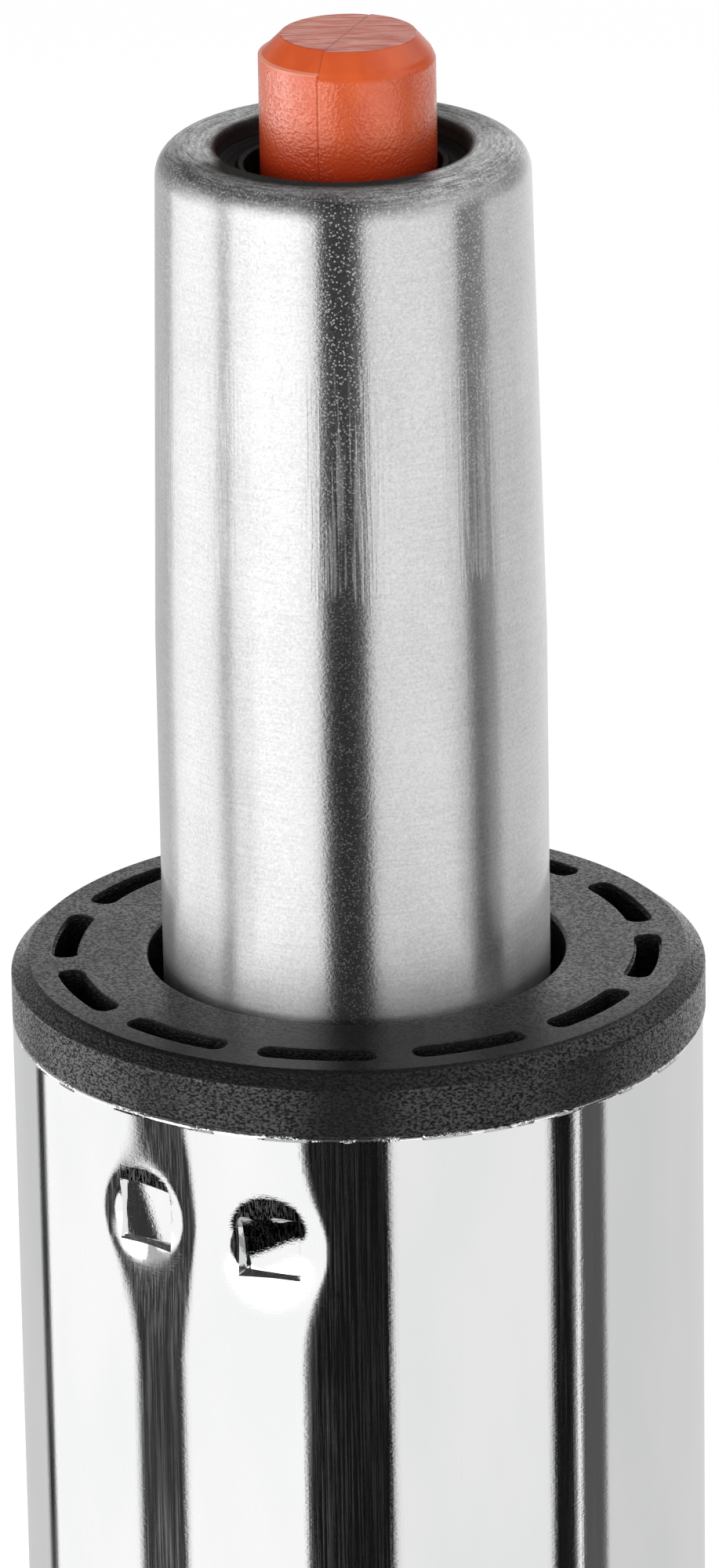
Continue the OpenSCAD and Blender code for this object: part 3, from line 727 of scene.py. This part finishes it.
def black_nylon():
    """Moulded black nylon with a spark-eroded grain whose tips shine, coarser on walls than on top;
    duller on the top's front, and dull under the tube's lip."""
    constants = {"Specular_IOR_Level": 0.15, "Coat_Roughness": 0.25}
    material, shader, start = new_finish("black_nylon_moulded", **constants)
    _, y, z = start.place().split()
    wall = 1 - z.smooth(COLLAR_TOP - 0.25, COLLAR_TOP - 0.1)
    front = (-1 * y).smooth(6.0, 20.0) * (1 - wall)
    open_air = 1 - z.smooth(COVER_Z - 5, COVER_Z)
    fine = start.noise((4.6, 4.6, 4.6), 2.0, 0.6)
    leather = start.noise((4.0, 4.0, 6.6), 1.0, 0.5)
    clouds = start.noise((0.2, 0.2, 0.2), 2.0)
    tips = (fine * (1 - wall) + (1.2 * leather - 0.1) * wall).smooth(0.32, 0.68)
    tone = 0.6 * tips + 0.4 * clouds
    tone.mix(colour(0.003, 0.003, 0.0031), colour(0.016, 0.016, 0.0163)).into(shader, "Base Color")
    (tips * (0.85 + clouds) * (1 - 0.85 * front) * open_air).into(shader, "Coat Weight")
    (0.22 + 0.12 * fine + 0.06 * clouds + 0.3 * (1 - open_air)).into(shader, "Roughness")
    (fine * 0.02 + leather * wall * 0.26).bump().into(shader, "Normal")
    return material


def orange_plastic():
    """Moulded orange plastic: soft peel on the side, fine drag marks on top, a painted highlight along
    the ledge on one half, painted shade deepening into the tube's hole and a dark parting line."""
    material, shader, start = new_finish("orange_plastic_moulded", IOR=1.7, Coat_Roughness=0.2)
    x, y, z = start.place().split()
    turn = math.radians(PARTING_TURN)
    aside = (x - BUTTON_X) * math.cos(turn) + y * math.sin(turn)
    line = 1 - start.math("ABSOLUTE", aside).smooth(0.02, 0.07)
    top = z.smooth(BUTTON_TOP - 0.15, BUTTON_TOP - 0.05)
    high = z.smooth(BUTTON_TOP - 2.0, BUTTON_TOP - 1.5)
    clouds = start.noise((0.5, 0.5, 0.25), 2.0)
    peel = start.noise((4.4, 4.4, 4.4), 2.0, 0.4)
    patch = start.noise((0.35, 0.35, 0.25), 1.0).smooth(0.2, 0.5)
    drag = start.noise((0.4, 4.5, 1.0), 3.0, 0.6)
    # Painted shade: the button is painted deeper red and loses its gloss down into the tube's hole
    deep = 1 - z.smooth(TUBE_TOP - 1.5, TUBE_TOP + 3.0)
    scuffs = drag.smooth(0.35, 0.65) * top
    body = clouds.smooth(0.3, 0.7).mix(colour(0.80, 0.122, 0.024), colour(0.72, 0.095, 0.018))
    shaded = deep.mix(body, colour(0.40, 0.030, 0.008))
    # Painted highlight: a pale line along the ledge, on the ledged half only
    edge = 1 - start.math("ABSOLUTE", z - BUTTON_TOP + BEVEL_H).smooth(0.03, 0.12)
    ledge_highlighted = (0.5 * edge * (1 - aside.smooth(-0.1, 0.1))).mix(shaded, colour(1.0, 0.50, 0.34))
    worn = (0.6 * scuffs).mix(ledge_highlighted, colour(0.50, 0.045, 0.010))
    (line * (0.25 + 0.6 * top)).mix(worn, colour(0.22, 0.02, 0.012)).into(shader, "Base Color")
    glint = peel.smooth(0.45, 0.6) * (1 - high) * patch + (1 - scuffs) * top
    (glint * (1 - deep)).into(shader, "Coat Weight")
    (0.22 + 0.08 * clouds + 0.14 * scuffs).into(shader, "Roughness")
    (peel * (1 - high) * (0.03 + 0.06 * patch) + drag * top * 0.04).bump().into(shader, "Normal")
    return material


def turned_metal(name, dull, bright, rough):
    """Machined metal with fine lines round the axis and a slight change of tone."""
    material, shader, start = new_finish(name, Metallic=1.0)
    x, y, z = start.place().split()
    radius = start.math("SQRT", x * x + y * y)
    rings = start.rings(0.1, (z + radius) * 5.0, 3.0)
    clouds = start.noise((0.3, 0.3, 0.3), 2.0)
    (0.5 * rings + 0.5 * clouds).smooth(0.25, 0.75).mix(dull, bright).into(shader, "Base Color")
    (rough + 0.12 * clouds + 0.06 * rings).into(shader, "Roughness")
    (rings * 0.004).bump().into(shader, "Normal")
    return material


def plated_sheet(name, dull, bright, rough):
    """Pressed sheet with a plated, faintly crystalline surface."""
    material, shader, start = new_finish(name, Metallic=1.0)
    crystals = start.cells((0.6, 0.6, 0.6))
    grain = start.noise((3, 3, 3), 3.0)
    (0.6 * crystals + 0.5 * grain).smooth(0.2, 0.8).mix(dull, bright).into(shader, "Base Color")
    (rough + 0.15 * grain).into(shader, "Roughness")
    (grain * 0.01).bump().into(shader, "Normal")
    return material


def moulded(name, dark, light, rough, grain_depth):
    """Moulded rubber or plastic with a fine grain and soft clouds of tone."""
    material, shader, start = new_finish(name, Specular_IOR_Level=0.4)
    grain = start.noise((4, 4, 4), 3.0, 0.6)
    clouds = start.noise((0.4, 0.4, 0.4), 2.0)
    (0.4 * grain + 0.6 * clouds).smooth(0.25, 0.75).mix(dark, light).into(shader, "Base Color")
    (rough + 0.12 * grain).into(shader, "Roughness")
    (grain * grain_depth).bump().into(shader, "Normal")
    return material


finishes = {
    "chrome": chrome_plate(),
    "satin_steel": satin_steel(),
    "black_nylon": black_nylon(),
    "orange_plastic": orange_plastic(),
    "zinc_steel": plated_sheet("zinc_plate", colour(0.50, 0.51, 0.50), colour(0.66, 0.67, 0.66), 0.32),
    "bearing_steel": turned_metal(
        "bearing_ground", colour(0.56, 0.56, 0.57), colour(0.68, 0.68, 0.69), 0.12
    ),
    "rod_steel": turned_metal("rod_ground", colour(0.64, 0.64, 0.65), colour(0.76, 0.76, 0.77), 0.10),
    "spring_steel": plated_sheet(
        "spring_oxide", colour(0.05, 0.05, 0.055), colour(0.10, 0.10, 0.105), 0.35
    ),
    "rubber": moulded(
        "rubber_moulded", colour(0.010, 0.010, 0.010), colour(0.022, 0.022, 0.022), 0.62, 0.03
    ),
    "pale_nylon": moulded(
        "pale_nylon_moulded", colour(0.66, 0.63, 0.54), colour(0.74, 0.71, 0.62), 0.42, 0.015
    ),
    "brass": turned_metal("brass_turned", colour(0.58, 0.39, 0.14), colour(0.72, 0.52, 0.22), 0.20),
    "aluminium": turned_metal(
        "aluminium_turned", colour(0.66, 0.66, 0.67), colour(0.78, 0.78, 0.79), 0.24
    ),
}

# Pieces on the frame

chrome_column(finishes["chrome"])
bush = slotted_bush(finishes["black_nylon"])
satin_tube(finishes["satin_steel"])
valve_ring(finishes["black_nylon"])
button = parted_button(finishes["orange_plastic"])

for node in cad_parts.values():
    for place in node.material_slots:
        place.material = finishes[place.material.name]

# Studio: white floor, a tent of light panels and dark gaps for the metal to mirror, soft lamps

TENT_R = 330.0
TENT_TOP = 640.0
TENT_LEVEL = 1.1
FLOOR_R = 9000.0
FLOOR_DROP = 0.05
FLOOR_LIFT = 0.45

# Panels of the tent as the column mirrors them, and higher up as the tube does: the azimuth at
# which each one's image begins in the photograph, from the front towards +X, and its level
COLUMN_PANELS = [
    (-90.0, 0.58),
    (-67.2, 0.03),
    (-64.1, 0.95),
    (-40.0, 0.030),
    (-31.0, 0.95),
    (-9.6, 0.006),
    (4.8, 0.80),
    (32.4, 0.006),
    (37.5, 1.15),
    (38.15, 0.08),
    (43.9, 0.62),
]
TUBE_PANELS = [
    (-90.0, 0.55),
    (-67.2, 0.42),
    (-64.1, 1.55),
    (-41.2, 0.40),
    (-36.6, 2.00),
    (-8.2, 0.010),
    (5.2, 1.29),
    (35.0, 0.00),
    (46.5, 0.74),
]
TUBE_PANELS_FROM = 80.0
TUBE_PANELS_TO = 140.0
PANEL_SOFT = 0.7
# Upper part of the tent and its cap: azimuths and levels that fade into each other
UPPER = [
    (-180, 0.66), (-172, 0.60), (-160, 0.28), (-120, 0.25), (-90, 0.90), (-80, 0.65), (-65, 1.40),
    (-30, 1.40), (-14, 0.08), (6, 0.08), (20, 0.70), (70, 0.38), (90, 0.12), (120, 0.12), (140, 0.36),
    (160, 0.85), (180, 0.66),
]
UPPER_FROM = 195.0
UPPER_TO = 260.0
CAP = [
    (-180, 0.35), (-165, 0.10), (-120, 0.05), (-60, 0.03), (30, 0.05), (75, 0.60), (125, 0.80),
    (160, 0.75), (180, 0.35),
]
CAP_FROM = 370.0
CAP_TO = 450.0
# Floor as mirrors see it: radii and levels, whose low level next to the foot is a painted contact shadow,
# with a dark cloth at the left and one at the right
FLOOR_IMAGE = [(25, 0.15), (45, 0.60), (150, 0.50), (335, 0.32), (355, 1.0)]
CLOTH_FROM = 125.0
CLOTH_TO = 345.0
LEFT_CLOTH = (-135.0, 8.0)
RIGHT_CLOTH = (66.0, 104.0)
CLOTH_SOFT = 10.0
# Level of the soft light from all round, and the place in metres that the lamps face
AMBIENT = 0.55
LAMP_TARGET = (0.0, 0.0, 0.2)

# Camera, fitted to the photograph's edges: place in metres, angles in degrees, focal length in pixels
CAMERA_AT = (0.0, -0.667586, 0.467655)
CAMERA_PITCH = 20.566
CAMERA_YAW = 0.035
CAMERA_ROLL = -0.978
FOCAL_PX = 12657.9
IMAGE_H = 2000
SENSOR = 36.0


def mirrored(azimuth, radius):
    """The azimuth on the tent's wall that the camera sees in an upright mirror of a radius at an
    azimuth, both in degrees: a ray in plan, turned back by the mirror and carried to the tent."""
    outward = swept(1.0, math.radians(azimuth), 0.0)[:2]
    at = radius * outward
    ray = unit(at - np.array(CAMERA_AT[:2]) / MM)
    ray = ray - 2 * (ray @ outward) * outward
    along = at @ ray
    hit = at + (math.sqrt(along**2 + TENT_R**2 - at @ at) - along) * ray
    return math.degrees(math.atan2(hit[0], -hit[1]))


def part_turn(degrees):
    """An azimuth as a place on a ramp, with the front in the middle."""
    return 0.5 + degrees / 360


def panel_stops(panels, radius):
    """Two stops for each panel that a mirror of a radius shows, just inside the panel's edges, so
    that neighbours blend over a narrow strip."""
    starts = [-180.0 - PANEL_SOFT] + [mirrored(azimuth, radius) for azimuth, _ in panels[1:]]
    ends = starts[1:] + [180.0 + PANEL_SOFT]
    stops = []
    for start, end, (_, level) in zip(starts, ends, panels):
        inset = min(PANEL_SOFT, (end - start) / 3)
        stops.append((part_turn(start + inset), level))
        stops.append((part_turn(end - inset), level))
    return stops


def put_stage(name, points, faces, material):
    """A surface of the studio, from points in millimetres, which isn't part of the lift."""
    mesh = bpy.data.meshes.new(name)
    mesh.from_pydata((points.reshape(-1, 3) * MM).tolist(), [], faces.tolist())
    mesh.materials.append(material)
    made = bpy.data.objects.new(name, mesh)
    bpy.context.scene.collection.objects.link(made)
    return made


def new_stage_material(name):
    """An empty material; gives it, its output node and a start for its nodes."""
    material = bpy.data.materials.new(name)
    material.use_nodes = True
    tree = material.node_tree
    tree.nodes.remove(tree.nodes["Principled BSDF"])
    return material, tree.nodes["Material Output"], Shade(tree)


def light_tent():
    """A drum round the lift that only mirror rays see: upright panels and dark gaps by azimuth, an
    upper part and a cap whose levels change slowly."""
    material, output, start = new_stage_material("tent_panels")
    x, y, z = start.place().split()
    azimuth = start.math("ARCTAN2", x, -1 * y) / (2 * math.pi) + 0.5
    soft_stops = [[(part_turn(degrees), level) for degrees, level in part] for part in (UPPER, CAP)]
    column_part, tube_part, around, cap = [
        start.node("ValToRGB", {"stops": stops}, {"Fac": azimuth})
        for stops in (panel_stops(COLUMN_PANELS, COLUMN_R), panel_stops(TUBE_PANELS, TUBE_R), *soft_stops)
    ]
    upper = z.smooth(CAP_FROM, CAP_TO).mix(around, cap)
    wall = z.smooth(TUBE_PANELS_FROM, TUBE_PANELS_TO).mix(column_part, tube_part)
    whole = z.smooth(UPPER_FROM, UPPER_TO).mix(wall, upper)
    start.node("Emission", {}, {"Color": whole, "Strength": TENT_LEVEL}).into(output, "Surface")
    material.cycles.emission_sampling = "NONE"
    outline = np.array([(TENT_R, 0.0), (TENT_R, TENT_TOP), (0.0, TENT_TOP)])
    points = turned(outline, even_turn(144))
    tent = put_stage("light_tent", points, grid_faces(*points.shape[:2]), material)
    tent.visible_camera = False
    tent.visible_diffuse = False
    tent.visible_transmission = False
    tent.visible_volume_scatter = False
    tent.visible_shadow = False


def between(place, low, high):
    """1 between two places and 0 outside them, with edges as soft as the cloths'."""
    begun = place.smooth(low - CLOTH_SOFT, low + CLOTH_SOFT)
    ended = place.smooth(high - CLOTH_SOFT, high + CLOTH_SOFT)
    return begun * (1 - ended)


def pale_floor():
    """A wide disc that takes the lift's shadow and looks white to the camera. Mirrors see levels by
    radius on it, darkest next to the foot as a painted contact shadow, and two dark cloths, each
    between two radii and two azimuths."""
    material, output, start = new_stage_material("pale_floor")
    x, y, _ = start.place().split()
    radius = start.math("SQRT", x * x + y * y)
    rays = {name: start.node("LightPath", {}, {}, name) for name in ("Is Camera Ray", "Is Glossy Ray")}
    matt = start.node("BsdfDiffuse", {}, {"Color": colour(0.9, 0.9, 0.9)})
    lift = start.node("Emission", {}, {"Strength": FLOOR_LIFT * rays["Is Camera Ray"]})
    seen = start.node("AddShader", {}, {0: matt, 1: lift})
    reach = FLOOR_IMAGE[-1][0]
    stops = [(place / reach, level) for place, level in FLOOR_IMAGE]
    levels = start.node("ValToRGB", {"stops": stops}, {"Fac": radius / reach})
    azimuth = start.math("DEGREES", start.math("ARCTAN2", x, -1 * y))
    around = between(azimuth, *LEFT_CLOTH) + between(azimuth, *RIGHT_CLOTH)
    cloth = between(radius, CLOTH_FROM, CLOTH_TO) * around
    image = start.node("Emission", {}, {"Color": cloth.mix(levels, colour(0, 0, 0))})
    start.node("MixShader", {}, {0: rays["Is Glossy Ray"], 1: seen, 2: image}).into(output, "Surface")
    outline = np.array([(0.0, -FLOOR_DROP), (TENT_R, -FLOOR_DROP), (FLOOR_R, -FLOOR_DROP)])
    points = turned(outline, even_turn(96))
    put_stage("pale_floor", points, grid_faces(*points.shape[:2])[:, ::-1], material)


def white_world():
    """White where the camera, mirrors and glass look past the floor; a plain level of soft light
    for everything else."""
    world = bpy.data.worlds.new("white_world")
    world.use_nodes = True
    bpy.context.scene.world = world
    backdrop = world.node_tree.nodes["Background"]
    start = Shade(world.node_tree)
    names = ("Is Camera Ray", "Is Glossy Ray", "Is Transmission Ray")
    camera_ray, glossy_ray, glass_ray = [start.node("LightPath", {}, {}, name) for name in names]
    seen = start.math("MAXIMUM", start.math("MAXIMUM", camera_ray, glossy_ray), glass_ray)
    backdrop.inputs["Color"].default_value = colour(1, 1, 1)
    (AMBIENT + (1 - AMBIENT) * seen).into(backdrop, "Strength")


def soft_lamp(name, place, size, watts, glossed=()):
    """A square lamp, in metres, that faces the lift's upper half. It either lights matt colour and
    isn't mirrored itself, or gives gloss alone to the pieces named."""
    lamp = bpy.data.lights.new(name, "AREA")
    lamp.size = size
    lamp.energy = watts
    made = bpy.data.objects.new(name, lamp)
    bpy.context.scene.collection.objects.link(made)
    away = unit(np.array(place) - LAMP_TARGET)
    across = unit(np.cross([0, 0, 1], away))
    above = np.cross(away, across)
    rows = np.stack([across, above, away], 1)
    made.matrix_world = Matrix([[*row, at] for row, at in zip(rows, place)] + [[0, 0, 0, 1]])
    made.visible_glossy = bool(glossed)
    made.visible_diffuse = not glossed
    made.visible_camera = False
    if glossed:
        receivers = bpy.data.collections.new(name)
        for piece in glossed:
            receivers.objects.link(piece)
        made.light_linking.receiver_collection = receivers


def photo_camera():
    """The camera at the photograph's place, turned by yaw, pitch and roll."""
    yaw, pitch, roll = (math.radians(angle) for angle in (CAMERA_YAW, CAMERA_PITCH, CAMERA_ROLL))
    forward = np.array([math.sin(yaw), math.cos(yaw), 0])
    ahead = math.cos(pitch) * forward - [0, 0, math.sin(pitch)]
    level = np.array([math.cos(yaw), -math.sin(yaw), 0])
    above = np.cross(level, ahead)
    right = math.cos(roll) * level + math.sin(roll) * above
    up = math.cos(roll) * above - math.sin(roll) * level
    lens = bpy.data.cameras.new("photo_camera")
    lens.sensor_width = SENSOR
    lens.lens = FOCAL_PX / IMAGE_H * SENSOR
    lens.clip_end = 50
    made = bpy.data.objects.new("photo_camera", lens)
    bpy.context.scene.collection.objects.link(made)
    rows = np.stack([right, up, -ahead], 1)
    made.matrix_world = Matrix([[*row, at] for row, at in zip(rows, CAMERA_AT)] + [[0, 0, 0, 1]])
    bpy.context.scene.camera = made


light_tent()
pale_floor()
white_world()
soft_lamp("key_lamp", (-0.7, -0.9, 0.55), 0.5, 6.0)
soft_lamp("fill_lamp", (0.9, -0.3, 0.6), 0.5, 1.6)
soft_lamp("side_gloss", (-0.5, -0.04, 0.15), 0.3, 2.2, glossed=(bush, button))
photo_camera()
bpy.context.scene.view_settings.view_transform = "Standard"
